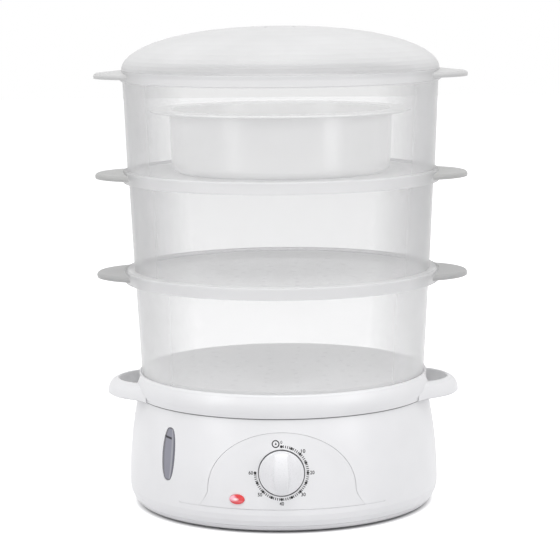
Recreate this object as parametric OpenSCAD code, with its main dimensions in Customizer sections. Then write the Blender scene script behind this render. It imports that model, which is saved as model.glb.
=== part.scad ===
// Electric food steamer: a round base with a water tank, a tube heater and a 60 minute timer,
// a drip tray with two filling spouts, three nesting baskets, a rice bowl and a domed lid.
// Millimetres, +Z up, front towards -Y, origin on the ground under the centre of the base.

/* [Base] */
// Radius of the base where it is widest
base_r = 125.6; // [123:0.1:130]
// How far the base draws in from its widest place to the seam under the drip tray
base_draw = 7.6; // [5.5:0.1:9]
// How far the base draws in from its widest place to its bottom edge
base_toe = 6.9; // [4.5:0.1:9]
// Height of the widest place of the base
base_wide_z = 17; // [15:0.5:20]
// Height of the seam between the base and the drip tray
seam_z = 88.7; // [88:0.1:96]
// Height of the housing's lower edge, where the bottom plate starts
hem_z = 6.3; // [5.6:0.1:7.5]
// Thickness of the moulded walls of the base
shell_w = 2.5; // [2:0.1:3]
// Height of the rubber feet under the base
foot_drop = 2.3; // [1.5:0.1:3]
// Thickness of the bottom plate
plate_t = 2.5; // [2.2:0.1:3]
// How far the feet stand inside the base's widest radius
foot_ring_in = 33.6; // [28:0.1:45]
// Radius of a rubber foot
foot_pad_r = 8; // [6:0.5:10]
// How far the plate screws stand inside the base's widest radius
boss_ring_in = 19.6; // [17.6:0.1:21.6]
// Radius of a screw boss
boss_r = 4.5; // [4:0.1:5]

/* [Water tank] */
// How far the tank stands inside the seam's radius
tank_inset = 8; // [7:0.5:10]
// Thickness of the tank's wall and floor
tank_w = 2.2; // [1.8:0.1:2.6]
// Height of the underside of the tank's floor
tank_z = 33; // [31:0.5:35]
// Gap between the timer's bell and the tank's flat front wall
bell_gap = 0.4; // [0.3:0.1:1.5]

/* [Control panel] */
// Half width of the panel's arch
arch_half = 57; // [54:0.5:59]
// Height of the panel's arch above its springing line
arch_rise = 45; // [42:0.5:45]
// Height of the springing line of the arch
arch_z = 34; // [32:0.5:34]
// Height of the panel's lower edge, on the skirt line
panel_z = 20.3; // [19:0.1:22]
// How far the panel's lower corners flare out
panel_flare = 7; // [4:0.5:8]
// Gap round the panel
panel_gap = 0.25; // [0.15:0.05:0.4]
// Half angle of the skirt line on the base
skirt_line_a = 39.5; // [36:0.5:42]

/* [Timer] */
// Height of the knob's centre
knob_z = 48.5; // [47:0.1:50]
// Radius of the knob
knob_r = 17.3; // [16:0.1:18]
// Depth of the knob
knob_h = 14; // [12:0.5:16]
// Half width of the knob's grip bar
grip_half = 5.3; // [4.5:0.1:6.5]
// Radius of the grip bar's bowed edges
grip_bow = 32; // [28:1:60]
// Radius of the knob's domed face
knob_dome = 24; // [22:1:60]
// Radius of the timer's shaft
shaft_r = 3; // [2.6:0.1:3.2]
// Side of the square timer case
case_side = 44; // [43:0.5:45]
// Depth of the timer case
case_depth = 22; // [21:0.5:22]
// Teeth of the timer's main gear
gear_teeth = 32; // [28:4:32]
// Teeth of the timer's pinion
pinion_teeth = 10; // [10:1:12]
// Module of the timer's gears
gear_module = 0.7; // [0.6:0.05:0.7]

/* [Gauge and lamp] */
// Angle of the water gauge from the front
gauge_a = -46; // [-47:0.5:-45]
// Height of the gauge's lower end
gauge_z = 34.9; // [34.5:0.1:36]
// Height of the gauge window
gauge_h = 41.1; // [40:0.1:42.5]
// Width of the gauge window
gauge_w = 14.4; // [13:0.1:16]
// Angle of the pilot lamp from the front
lamp_a = -15.9; // [-18:0.1:-15.5]
// Height of the pilot lamp's centre
lamp_z = 27.6; // [27:0.1:29]
// Width of the pilot lamp's lens
lamp_w = 12; // [10:0.1:12.5]
// Height of the pilot lamp's lens
lamp_h = 7.5; // [6.5:0.1:8.5]

/* [Heater] */
// Radius of the heating loop
loop_r = 26; // [24:0.5:28]
// Radius of the heater's tube
tube_r = 3.3; // [3:0.1:3.5]
// Height of the heating loop
loop_z = 47; // [45:0.5:50]
// Angle of the loop's open part
loop_gap = 36; // [34:1:40]
// Outer radius of the steam ring's foot
ring_r = 40; // [38:0.5:44]
// Height of the steam ring
ring_h = 42; // [36:0.5:44]

/* [Drip tray] */
// Height of the tray's rim above the seam
tray_h = 19; // [18.5:0.1:20]
// How far the tray's band stands inside the base's widest radius
tray_in = 4.9; // [4.5:0.1:5.3]
// Thickness of the tray's walls
tray_w = 2; // [1.8:0.1:2.4]
// Depth at which the lowest basket's foot stands below the rim
tray_nest = 3.2; // [3:0.1:3.6]
// Radius of the steam chimney
chimney_r = 30; // [26:0.5:33]
// How far the spouts' own centres stand inside the tray's band
spout_in = 22; // [21.5:0.1:22.5]
// Radius of the spout's opening
spout_open_r = 35; // [34.5:0.1:35.5]
// Widest radius of the spout
spout_r = 44.2; // [43.8:0.1:44.6]
// Height of the spout's lip above the seam
spout_h = 12.9; // [12.6:0.1:13.2]
// Radius of the soft corners between the spouts and the tray's band
fillet_r = 45; // [40:1:50]

/* [Baskets] */
// Height of each basket
basket_h = 86.8; // [84:0.1:92]
// Depth at which a basket's foot stands in the rim below
basket_nest = 6.8; // [6:0.1:7.5]
// How far the lowest basket's foot stands inside the seam's radius
foot_in = 3.5; // [3:0.1:4.5]
// Growth of the foot's radius from tier to tier
foot_step = 4.4; // [4.2:0.1:4.4]
// How far the lowest basket's wall leans out from its foot to its rim
wall_lean = 4.1; // [3.6:0.1:4.5]
// Growth of the wall's top radius from tier to tier
wall_step = 3.9; // [3.8:0.05:4]
// Thickness of the baskets' walls
basket_w = 1.8; // [1.6:0.1:2]
// How far the baskets' rims stand out from the lowest basket's wall
rim_out = 8.4; // [8.2:0.1:10]
// Depth of the rim's skirt
rim_h = 9.4; // [9.2:0.1:10]
// How far a handle's own centre stands inside the rim
wing_in = 22; // [20:0.5:24]
// Radius of a handle
wing_r = 45; // [43:0.5:47]
// Thickness of a handle at its edge
wing_t = 4.2; // [4:0.1:4.8]
// How far a handle's top falls from the rim to its edge
wing_fall = 2.2; // [2:0.1:4]
// How far the root under a handle reaches out from the rim
root_out = 5; // [3:0.5:7]
// Radius of a hole in a basket's floor
drain_r = 1.9; // [1.5:0.1:1.95]

/* [Rice bowl] */
// Radius of the bowl's wall at its top
bowl_r = 89.5; // [86:0.5:91]
// Radius of the bowl's flange
bowl_rim_r = 105; // [100:0.5:108]
// Height of the bowl
bowl_h = 50.5; // [46:0.5:54]
// Thickness of the bowl's wall
bowl_w = 2; // [1.6:0.1:2.4]

/* [Lid] */
// How far the lid's edge stands out from the baskets' rims
lid_out = 0.2; // [0:0.1:1]
// Height of the lid's dome
lid_h = 33.7; // [30:0.1:38]
// Thickness of the lid
lid_w = 1.8; // [1.6:0.1:2.2]
// Radius of a steam vent
vent_r = 1.8; // [1.4:0.1:1.95]

/* [Cord inlet] */
// Height of the cord gland's centre
gland_z = 18; // [17:0.5:20]
// Radius of the gland's bore
gland_bore_r = 3.5; // [3.2:0.1:4]
// Length of the gland's nose outside the wall
gland_nose = 7.1; // [4:0.1:9]

/* [Hidden] */
$fn = 96;

// Gap between pieces that lift apart, and between pieces that turn in each other
slip = 0.4;
turn = 0.05;
// Small overlap that joins two shapes of one piece
join = 0.5;

// ---- levels ----
plate_top = foot_drop + plate_t;
tank_floor = tank_z + 2.5;
ledge_z = seam_z - 7.1;
ledge_t = 2;
tank_rim_t = 1.8;
tray_rim_z = seam_z + tray_h;
seat_z = tray_rim_z - tray_nest;
pitch = basket_h - basket_nest;
lid_z = seat_z + 2 * pitch + basket_h;

// ---- radii, all from the base's widest one ----
base_top_r = base_r - base_draw;
base_toe_r = base_r - base_toe;
foot_ring_r = base_r - foot_ring_in;
boss_ring_r = base_r - boss_ring_in;
tray_r = base_r - tray_in;
spout_x = tray_r - spout_in;
foot_r = base_top_r - foot_in;
wall_r = foot_r + wall_lean;
rim_r = wall_r + rim_out;
wing_x = rim_r - wing_in;
lid_r = rim_r + lid_out;
tank_r = base_top_r - tank_inset;
lip_r = base_top_r - shell_w;
skirt_r = lip_r - slip;
side_rho = arc_radius(base_r - base_top_r, seam_z - base_wide_z);
toe_rho = arc_radius(base_r - base_toe_r, base_wide_z - foot_drop);
boss_angles = [-122, -68, 68, 122];
foot_angles = [-135, -45, 45, 135];

// ---- dial, measured from the centre outwards along the knob's axis ----
seat_depth = 3.1;
dial_y = base_at(knob_z) - seat_depth;
seat_t = 2;
knob_seat_r = knob_r + 0.75;
cover_t = 1.5;
panel_t = 3.85;
boss_back = chord_y(base_at(knob_z + case_side / 2) - panel_t, case_side / 2) - slip;
case_front = boss_back - cover_t;
case_back = case_front - case_depth;
bell_h = 6.2;
tank_front = case_back - bell_h - bell_gap;
case_w = 1.5;
gear_y = case_front - 7;
gear_t = 2.5;
cam_y = case_front - 15;
cam_t = 4;
cam_r = 7;
mesh_a = 45;
mesh_d = gear_module * (gear_teeth + pinion_teeth) / 2;
arbor_r = 1.2;
screw_x = case_side / 2 + 4;
blade_t = 0.6;
blade_x = 8;
tab_end = 29;

// ---- heater ----
leg_x = loop_r * sin(loop_gap / 2);
leg_y = loop_r * cos(loop_gap / 2);
bush_r = 5;
bush_flange_r = 6.6;
seal_t = 1.4;
pin_z = 14;

// ---- small parts under the tank ----
stat_x = -22;
stat_y = -12;
stat_r = 8;
stat_h = 7;
stat_screw_x = 12.5;
stat_tab_y = 5.2;
tab_w = 6.3;
tab_t = 0.8;
tab_h = 8;
fuse_x = 8;
fuse_len = 14;
fuse_r = 2.1;
block_y = base_r - 37.6;
block_size = [40, 14, 14];
way_z = plate_top + 6;
lead_r = 1.3;
lamp_lead_r = 0.9;

function arc_radius(drop, run) = (drop * drop + run * run) / (2 * drop);
function arc_drop(rho, off) = rho - sqrt(rho * rho - off * off);
// Depth of a circle of radius r at a distance x from its middle
function chord_y(r, x) = sqrt(r * r - x * x);
// Outer radius of the base at height z
function base_at(z) = base_r - arc_drop(z > base_wide_z ? side_rho : toe_rho, z - base_wide_z);
function steps(a, b, n) = [for (i = [0:n]) a + (b - a) * i / n];
function arc(x, y, r, a0, a1, n = 6) = [for (a = steps(a0, a1, n)) [x + r * cos(a), y + r * sin(a)]];
function oval(a, b, n = 40) = [for (i = [0:n - 1]) [a * cos(360 * i / n), b * sin(360 * i / n)]];
// Outer radii of the foot and of the wall's top on tier i
function tier_foot(i) = foot_r + i * foot_step;
function tier_wall(i) = wall_r + i * wall_step;

// A closed band of the base's outer curve, from one inset to a deeper one
function band(z0, z1, inset0, inset1, n = 18) = concat(
    [for (z = steps(z0, z1, n)) [base_at(z) - inset0, z]],
    [for (z = steps(z1, z0, n)) [base_at(z) - inset1, z]]);

module ring(r_out, r_in, h) {
    difference() {
        cylinder(r = r_out, h = h);
        translate([0, 0, -1]) cylinder(r = r_in, h = h + 2);
    }
}

// The base's outer shape as a solid, drawn in by an inset
module base_solid(z0, z1, inset) {
    rotate_extrude() polygon(concat([[0, z0]],
        [for (z = steps(z0, z1, 16)) [base_at(z) - inset, z]], [[0, z1]]));
}

// Children are drawn with x to the right and y up, and their z points out from the centre
module facing(a, z) {
    rotate([0, 0, a]) translate([0, 0, z]) rotate([90, 0, 0]) children();
}

module dial() {
    facing(0, knob_z) children();
}

// ---- outline of the control panel, grown by m, in x and z ----
function flare_x(t) = arch_half + panel_flare * pow(t, 1.6);
function panel_side(m) = concat(
    [for (t = steps(1, 0, 8))
        [flare_x(t) + m, arch_z - (arch_z - panel_z + m) * t]],
    [for (a = steps(4, 90, 22)) [(arch_half + m) * cos(a),
        min(arch_z + (arch_rise + m) * sin(a), ledge_z - ledge_t - slip / 2)]]);
function flip(pts) = [for (i = [len(pts) - 2:-1:0]) [-pts[i].x, pts[i].y]];

module panel_prism(m) {
    rotate([90, 0, 0]) linear_extrude(base_r + 5)
        polygon(concat(panel_side(m), flip(panel_side(m))));
}

// ================= base =================

module base_housing() {
    color("white") difference() {
        union() {
            rotate_extrude() polygon(band(hem_z, seam_z, 0, shell_w));
            translate([0, 0, ledge_z - ledge_t])
                ring(base_at(ledge_z) - shell_w / 2, tank_r + slip, ledge_t);
            for (a = boss_angles) rotate([0, 0, a]) screw_post();
        }
        difference() {
            panel_prism(panel_gap);
            base_solid(0, seam_z + 1, shell_w + 2);
        }
        gauge_prism(base_at(seam_z) - 8, slip / 2);
        facing(180, gland_z) cylinder(r = gland_neck_r + slip / 2, h = base_r + 5);
        skirt_groove();
        for (a = boss_angles) rotate([0, 0, a]) translate([0, -boss_ring_r, plate_top - 1])
            cylinder(r = 1.5, h = 18);
    }
}

// A post for a plate screw, with the rib that ties it to the wall
module screw_post() {
    post_h = tank_z - plate_top - 2;
    translate([0, -boss_ring_r, plate_top]) cylinder(r = boss_r, h = post_h);
    intersection() {
        translate([-1.2, -base_r, hem_z + 3]) cube([2.4, base_r - boss_ring_r, post_h - 5]);
        base_solid(0, seam_z, shell_w / 2);
    }
}

// The fine line round the front of the base, level with the panel's lower edge
module skirt_groove() {
    rotate([0, 0, -90 - skirt_line_a]) rotate_extrude(angle = 2 * skirt_line_a)
        translate([base_at(panel_z) - 0.5, panel_z - 0.7]) square([2, 0.8]);
}

module bottom_plate() {
    color("whitesmoke") difference() {
        union() {
            base_solid(foot_drop, plate_top, 0);
            rotate_extrude() polygon(band(plate_top - join, hem_z - slip / 2, 0, shell_w, 4));
        }
        for (a = boss_angles) rotate([0, 0, a]) translate([0, -boss_ring_r, 0]) {
            cylinder(r = 1.9, h = plate_top + 1);
            cylinder(r = 4, h = foot_drop + 1.2);
        }
        for (a = foot_angles) rotate([0, 0, a]) translate([0, -foot_ring_r, 0])
            cylinder(r = foot_pad_r + 0.2, h = foot_drop + 1.5);
        for (x = [-3:3]) translate([x * 9, -62, 0]) translate([-1.5, -12, 0])
            cube([3, 24, plate_top + 1]);
    }
}

module rubber_feet() {
    color("dimgray") for (a = foot_angles) rotate([0, 0, a]) translate([0, -foot_ring_r, 0])
        rotate_extrude() polygon(concat([[0, 0]], arc(foot_pad_r - 1.2, 1.2, 1.2, -90, 0, 4),
            [[foot_pad_r, foot_drop + 1.5], [0, foot_drop + 1.5]]));
}

module plate_screws() {
    color("silver") for (a = boss_angles) rotate([0, 0, a]) translate([0, -boss_ring_r, 0])
        difference() {
            union() {
                translate([0, 0, foot_drop + 0.2]) cylinder(r = 3.6, h = 1);
                translate([0, 0, foot_drop + 1]) cylinder(r = 1.45, h = 15);
            }
            cross_slot(foot_drop + 0.2);
        }
}

// The cross of a screw's head, cut up from level z
module cross_slot(z) {
    for (a = [0, 90]) rotate([0, 0, a]) translate([-1.8, -0.4, z - 1]) cube([3.6, 0.8, 1.5]);
}

// ================= front of the base =================

module control_panel() {
    color("white") difference() {
        union() {
            intersection() {
                panel_prism(0);
                rotate_extrude() polygon(band(panel_z - 4, seam_z, 0, panel_t - 0.6));
            }
            intersection() {
                panel_prism(2.5);
                rotate_extrude() polygon(band(panel_z - 4, seam_z, shell_w + 0.15, panel_t));
            }
            intersection() {
                union() {
                    dial() translate([0, 0, boss_back])
                        cylinder(r = knob_seat_r + 3, h = base_r - boss_back);
                    for (s = [-1, 1]) dial() translate([s * screw_x, 0, boss_back])
                        cylinder(r = 3.8, h = 5);
                }
                base_solid(0, seam_z, 1);
            }
        }
        dial() {
            translate([0, 0, dial_y]) cylinder(r = knob_seat_r, h = 20);
            translate([0, 0, boss_back - 1])
                cylinder(r = knob_seat_r, h = dial_y - seat_t - boss_back + 1);
            cylinder(r = shaft_r + 0.6, h = base_r);
            for (s = [-1, 1]) translate([s * screw_x, 0, boss_back - 1]) cylinder(r = 1.2, h = 4.2);
        }
        facing(lamp_a, lamp_z) linear_extrude(base_r + 5)
            polygon(oval(lamp_w / 2 + 0.15, lamp_h / 2 + 0.15));
    }
}

// The gauge's outline: a tall window with bowed sides and rounded ends, grown by m
function gauge_half(t) = gauge_w / 2 * pow(1 - t * t, 0.36);
function gauge_outline(m) = let (
    up = [for (t = [-1, -0.985, -0.95, -0.88, -0.75, -0.6, -0.4, -0.2, 0,
            0.2, 0.4, 0.6, 0.75, 0.88, 0.95, 0.985, 1])
        [gauge_half(t) + m, t * (gauge_h / 2 + m)]])
    concat(up, [for (i = [len(up) - 1:-1:0]) [-up[i].x, up[i].y]]);

module gauge_prism(r_in, m) {
    facing(gauge_a, gauge_z + gauge_h / 2) translate([0, 0, r_in])
        linear_extrude(base_r + 5 - r_in)
            polygon(m > 0 ? gauge_outline(m) : gauge_outline(0.01));
}

gauge_back = base_at(gauge_z + gauge_h) - shell_w - 0.9;
gasket_t = 1;
pocket_face = gauge_back - gasket_t;
pocket_in = gauge_w - 5;

module water_gauge() {
    color("slategray", 0.7) intersection() {
        gauge_prism(gauge_back, 0);
        base_solid(gauge_z - 5, seam_z, 0.4);
    }
}

module gauge_seal() {
    color("dimgray") facing(gauge_a, gauge_z + gauge_h / 2) translate([0, 0, pocket_face])
        linear_extrude(gasket_t) difference() {
            polygon(gauge_outline(0.01));
            pocket_hole();
        }
}

// The water way behind the gauge: a tall slot with round ends
module pocket_hole() {
    slot_h = gauge_h - 6 - pocket_in;
    square([pocket_in, slot_h], center = true);
    for (s = [-1, 1]) translate([0, s * slot_h / 2]) circle(d = pocket_in);
}

lens_flange_y = base_at(lamp_z) - shell_w - 3.1;

module pilot_lens() {
    color("red", 0.8) facing(lamp_a, lamp_z) union() {
        intersection() {
            translate([0, 0, lens_flange_y]) linear_extrude(10)
                polygon(oval(lamp_w / 2, lamp_h / 2));
            translate([0, 0, base_at(lamp_z) + 1.5 - 16]) sphere(r = 16);
        }
        translate([0, 0, lens_flange_y])
            linear_extrude(1.3) polygon(oval(lamp_w / 2 + 1.5, lamp_h / 2 + 1.5));
    }
}

module neon_lamp() {
    color("orange", 0.6) facing(lamp_a, lamp_z) union() {
        translate([0, 0, lens_flange_y - 12]) cylinder(r = 2.6, h = 9);
        translate([0, 0, lens_flange_y - 3]) sphere(r = 2.6);
    }
}

module lamp_holder() {
    color("ivory") facing(lamp_a, lamp_z) translate([0, 0, lens_flange_y - 14]) difference() {
        cylinder(r = 4.5, h = 14);
        translate([0, 0, 2]) cylinder(r = 2.65, h = 14);
    }
}

// ================= water tank and heater =================

module tank_plan(inset) {
    r = tank_r - inset;
    intersection() {
        circle(r = r);
        translate([-r, -tank_front + inset]) square([2 * r, r + tank_front]);
    }
}

module water_tank() {
    pocket_z = gauge_z + gauge_h / 2;
    color("gainsboro") difference() {
        union() {
            translate([0, 0, tank_z]) linear_extrude(ledge_z + tank_rim_t - tank_z) tank_plan(0);
            translate([0, 0, ledge_z])
                cylinder(r = base_at(ledge_z) - shell_w - slip, h = tank_rim_t);
            facing(gauge_a, pocket_z) translate([-gauge_w / 2 - 0.8, -gauge_h / 2 - 0.2, tank_r - 8])
                cube([gauge_w + 1.6, gauge_h + 0.8, pocket_face - tank_r + 8]);
            for (s = [-1, 1]) translate([stat_x + s * stat_screw_x, stat_y, tank_z - stat_h])
                cylinder(r = 3.5, h = stat_h + 1);
        }
        translate([0, 0, tank_floor]) linear_extrude(seam_z) tank_plan(tank_w);
        facing(gauge_a, pocket_z) translate([0, 0, tank_r - 12])
            linear_extrude(20) pocket_hole();
        for (s = [-1, 1]) {
            translate([s * leg_x, leg_y, tank_z - 1]) cylinder(r = bush_r + 0.1, h = 5);
            translate([stat_x + s * stat_screw_x, stat_y, tank_z - stat_h - 1])
                cylinder(r = 1.3, h = stat_h + 1);
        }
    }
}

module heating_element() {
    color("silver") union() {
        translate([0, 0, loop_z]) rotate([0, 0, 90 + loop_gap / 2])
            rotate_extrude(angle = 360 - loop_gap) translate([loop_r, 0]) circle(r = tube_r);
        for (s = [-1, 1]) translate([s * leg_x, leg_y, 0]) {
            translate([0, 0, loop_z]) sphere(r = tube_r + 0.2);
            translate([0, 0, pin_z + 8]) cylinder(r = tube_r, h = loop_z - pin_z - 8);
            translate([0, 0, pin_z]) cylinder(r = 1.2, h = 9);
        }
    }
}

bush_top = tank_floor + seal_t;

module heater_bushes() {
    color("goldenrod") for (s = [-1, 1]) translate([s * leg_x, leg_y, 0]) difference() {
        union() {
            translate([0, 0, tank_z - 5]) cylinder(r = bush_r, h = bush_top - tank_z + 5);
            translate([0, 0, bush_top]) cylinder(r = bush_flange_r, h = 1.6);
        }
        cylinder(r = tube_r + turn, h = loop_z);
    }
}

module heater_seals() {
    color("firebrick") for (s = [-1, 1]) translate([s * leg_x, leg_y, tank_floor])
        ring(bush_flange_r, bush_r + turn, seal_t);
}

module heater_nuts() {
    color("goldenrod") for (s = [-1, 1]) translate([s * leg_x, leg_y, tank_z - 4])
        difference() {
            rotate([0, 0, 30]) cylinder(r = 6.9, h = 4, $fn = 6);
            translate([0, 0, -1]) cylinder(r = bush_r + turn, h = 6);
        }
}

module thermostat() {
    color("tan") difference() {
        union() {
            translate([stat_x, stat_y, tank_z - stat_h]) cylinder(r = stat_r, h = stat_h);
            translate([stat_x - 17, stat_y - 4, tank_z - stat_h - 1.5]) cube([34, 8, 1.5]);
            for (s = [-1, 1]) translate([stat_x - tab_w / 2, stat_y + s * (stat_tab_y + tab_t / 2)
                    - tab_t / 2, tank_z - stat_h - tab_h]) cube([tab_w, tab_t, tab_h + 1]);
        }
        for (s = [-1, 1]) translate([stat_x + s * stat_screw_x, stat_y, 0])
            cylinder(r = 1.5, h = tank_z - stat_h);
    }
}

module thermostat_screws() {
    under = tank_z - stat_h - 1.5;
    color("silver") for (s = [-1, 1]) translate([stat_x + s * stat_screw_x, stat_y, 0])
        difference() {
            union() {
                translate([0, 0, under - 1.6]) cylinder(r = 2.8, h = 1.6);
                translate([0, 0, under - 1]) cylinder(r = 1.25, h = 7);
            }
            cross_slot(under - 1.6);
        }
}

module thermal_fuse() {
    color("lightgray") translate([fuse_x, stat_y, tank_z - fuse_r - turn]) rotate([0, 90, 0])
        cylinder(r = fuse_r, h = fuse_len);
}

way_x = [-16, -10, -4, 8];

module terminal_block() {
    color("ivory") translate([0, block_y, plate_top]) difference() {
        union() {
            translate([-block_size.x / 2, -block_size.y / 2, 0]) cube(block_size);
            for (x = way_x) translate([x, 0, block_size.z - 1]) cylinder(r = 2.4, h = 3);
        }
        for (x = way_x) {
            translate([x, 0, block_size.z]) cylinder(r = 1.6, h = 3);
            translate([x, -block_size.y / 2 - 1, way_z - plate_top]) rotate([-90, 0, 0])
                cylinder(r = lead_r + turn, h = 5);
        }
    }
}

gland_neck_r = 6.4;
gland_flange_r = 8.5;
gland_in = base_at(gland_z) - shell_w - 7;
gland_out = base_at(gland_z) + 0.2;

module cord_gland() {
    color("whitesmoke") facing(180, gland_z) difference() {
        union() {
            translate([0, 0, gland_in]) cylinder(r = gland_neck_r, h = gland_out - gland_in + 1);
            translate([0, 0, gland_out]) cylinder(r = gland_flange_r, h = 2.5);
            translate([0, 0, gland_out + 2.4])
                cylinder(r1 = gland_neck_r, r2 = gland_bore_r + 1.6, h = gland_nose + 0.1);
            translate([0, 0, gland_in + 3]) cylinder(r = gland_neck_r + 1.6, h = 2.2);
        }
        translate([0, 0, gland_in - 1]) cylinder(r = gland_bore_r, h = base_r);
    }
}

// ================= leads =================

function unit(v) = v / norm(v);
function axes_along(t, i, u) = i >= len(t) ? [] :
    let (v = unit(u - (u * t[i]) * t[i])) concat([v], axes_along(t, i + 1, v));
// A point on the smooth curve through the route's points
function spline(p, i, s) = let (
    n = len(p) - 1, a = p[max(i - 1, 0)], b = p[i], c = p[min(i + 1, n)], d = p[min(i + 2, n)])
    0.5 * (2 * b + (c - a) * s + (2 * a - 5 * b + 4 * c - d) * s * s
        + (3 * b - a - 3 * c + d) * s * s * s);
function smooth(p, k) = concat(
    [for (i = [0:len(p) - 2]) for (j = [0:k - 1]) spline(p, i, j / k)], [p[len(p) - 1]]);

// One tube of radius r swept along the route
module lead(route, r, sides = 8, k = 2) {
    p = smooth(route, k);
    n = len(p);
    last = len(route) - 1;
    t = [for (i = [0:n - 1]) unit(i == 0 ? route[1] - route[0]
        : i == n - 1 ? route[last] - route[last - 1] : p[i + 1] - p[i - 1])];
    u = axes_along(t, 0, abs(t[0].x) < 0.7 ? [1, 0, 0] : [0, 1, 0]);
    rings = [for (i = [0:n - 1]) for (j = [0:sides - 1])
        p[i] + r * (cos(360 * j / sides) * u[i] + sin(360 * j / sides) * cross(t[i], u[i]))];
    skin = [for (i = [0:n - 2]) for (j = [0:sides - 1])
        let (a = i * sides + j, b = i * sides + (j + 1) % sides)
            each [[a, a + sides, b], [b, a + sides, b + sides]]];
    caps = [for (j = [1:sides - 2]) each [[0, j, j + 1],
        [(n - 1) * sides, (n - 1) * sides + j + 1, (n - 1) * sides + j]]];
    polyhedron(points = rings, faces = concat(skin, caps));
}

block_in = block_y - block_size.y / 2 + 3;
block_mouth = block_y - block_size.y / 2 - 1;
tab_y = -(cam_y + cam_t / 2);
tab_z = knob_z - tab_end;
stat_tab_z = tank_z - stat_h - tab_h;
stat_tab_off = stat_tab_y + tab_t / 2;
fuse_axis_z = tank_z - fuse_r - turn;
lamp_in = lens_flange_y - 14;
lamp_back = [lamp_in * sin(lamp_a), -lamp_in * cos(lamp_a)];

module supply_lead() {
    color("saddlebrown") lead([[way_x[2], block_in, way_z], [way_x[2], block_mouth, way_z],
        [way_x[2], block_in - 8, way_z], [-12, block_in - 18, 9],
        [-30, 46, 9], [-36, 18, 9], [-36, -20, 9], [-32, -55, 9], [-20, tab_y + 18, 9],
        [-blade_x, tab_y + 5, 11], [-blade_x, tab_y, 15], [-blade_x, tab_y, tab_z]], lead_r);
}

module heater_lead() {
    color("saddlebrown") lead([[blade_x, tab_y, tab_z], [blade_x, tab_y, 15],
        [blade_x, tab_y + 5, 11], [16, tab_y + 22, 9], [24, -50, 9], [24, -10, 9], [16, 14, 8],
        [leg_x, leg_y - 3, 9], [leg_x, leg_y, 11.5], [leg_x, leg_y, pin_z]], lead_r);
}

module thermostat_lead() {
    color("royalblue") union() {
        lead([[-leg_x, leg_y, pin_z], [-leg_x, leg_y, 11.5], [-leg_x - 2, leg_y - 3, 9],
            [-16, 10, 8], [-21, -1, 9], [stat_x, stat_y + stat_tab_off, 13],
            [stat_x, stat_y + stat_tab_off, stat_tab_z]], lead_r);
        lead([[stat_x, stat_y - stat_tab_off, stat_tab_z], [stat_x, stat_y - stat_tab_off, 14],
            [-17, -20, 11], [-6, -18, 12], [0, -14, 19], [2, stat_y, 27],
            [4, stat_y, fuse_axis_z], [fuse_x, stat_y, fuse_axis_z]], lead_r);
    }
}

module return_lead() {
    end_x = fuse_x + fuse_len;
    color("royalblue") lead([[end_x, stat_y, fuse_axis_z], [end_x + 4, stat_y, fuse_axis_z],
        [31, -8, 24], [33, 6, 12], [32, 24, 9], [28, 48, 9], [14, block_in - 18, 9],
        [way_x[3], block_in - 8, way_z], [way_x[3], block_mouth, way_z], [way_x[3], block_in, way_z]], lead_r);
}

module lamp_leads() {
    color("gray") for (i = [0, 1]) {
        off = i * 5;
        side = lamp_back + [(i - 0.5) * 3.6, 0];
        lead([[side.x, side.y + 0.7, lamp_z], [side.x, side.y + 4, lamp_z - 1],
            [side.x - 4, side.y + 12, 20], [-46 + off, -70, 10], [-50 + off, -30, 9],
            [-50 + off, 20, 9], [-38 + off, 52, 9], [-22 + off, block_in - 14, 9],
            [way_x[i], block_in - 7, way_z], [way_x[i], block_mouth, way_z], [way_x[i], block_in, way_z]],
            lamp_lead_r);
    }
}

// ================= timer =================

// A toothed wheel with involute flanks
function inv(a) = tan(a) * 180 / PI - a;
function flank(r, rb, half) = let (a = r > rb ? acos(rb / r) : 0) half - inv(a);
module toothed(teeth, h) {
    press_a = 25;
    rp = gear_module * teeth / 2;
    rb = rp * cos(press_a);
    ra = rp + 0.8 * gear_module;
    rd = rp - 1.1 * gear_module;
    back = 0.05 * 180 / (PI * rp);
    half = 90 / teeth - back + inv(press_a);
    radii = [rd, max(rd, rb), rp - 0.2 * gear_module, rp, rp + 0.4 * gear_module, ra];
    side = [for (r = radii) [r, flank(r, rb, half)]];
    linear_extrude(h) polygon([for (i = [0:teeth - 1]) let (c = 360 * i / teeth)
        each concat([for (s = side) s[0] * [cos(c - s[1]), sin(c - s[1])]],
            [for (k = [len(side) - 1:-1:0]) side[k][0] * [cos(c + side[k][1]), sin(c + side[k][1])]])]);
}

// The shaft's section, round with one flat
module shaft_section(gap) {
    difference() {
        circle(r = shaft_r + gap);
        translate([shaft_r * 0.7 + gap, -5]) square([5, 10]);
    }
}

knob_y = dial_y + slip;

module timer_knob() {
    scoop_r = knob_h - 0.6;
    face_a = asin((knob_r - 0.9) / knob_dome);
    color("white") dial() translate([0, 0, knob_y]) difference() {
        rotate_extrude() polygon(concat([[0, 0], [knob_r - 0.4, 0]],
            arc(knob_r - 0.6, 3, 0.6, 0, 60, 4), arc(0, knob_h - knob_dome, knob_dome, 90 - face_a, 90, 12)));
        for (s = [-1, 1]) translate([s * (grip_half - grip_bow), 0, knob_h + 3]) rotate_extrude()
            translate([grip_bow + sqrt(scoop_r * scoop_r - 9), 0]) circle(r = scoop_r);
        translate([0, 0, -1]) linear_extrude(knob_h - 3) shaft_section(0.02);
    }
}

module timer_shaft() {
    color("gold") dial() union() {
        translate([0, 0, case_back]) cylinder(r = shaft_r, h = dial_y - case_back);
        translate([0, 0, dial_y - 1]) linear_extrude(knob_h - 4 + slip) shaft_section(0);
    }
}

module timer_gear() {
    color("gold") dial() translate([0, 0, gear_y]) difference() {
        rotate([0, 0, mesh_a]) toothed(gear_teeth, gear_t);
        translate([0, 0, -1]) cylinder(r = shaft_r + 0.02, h = gear_t + 2);
    }
}

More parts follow.
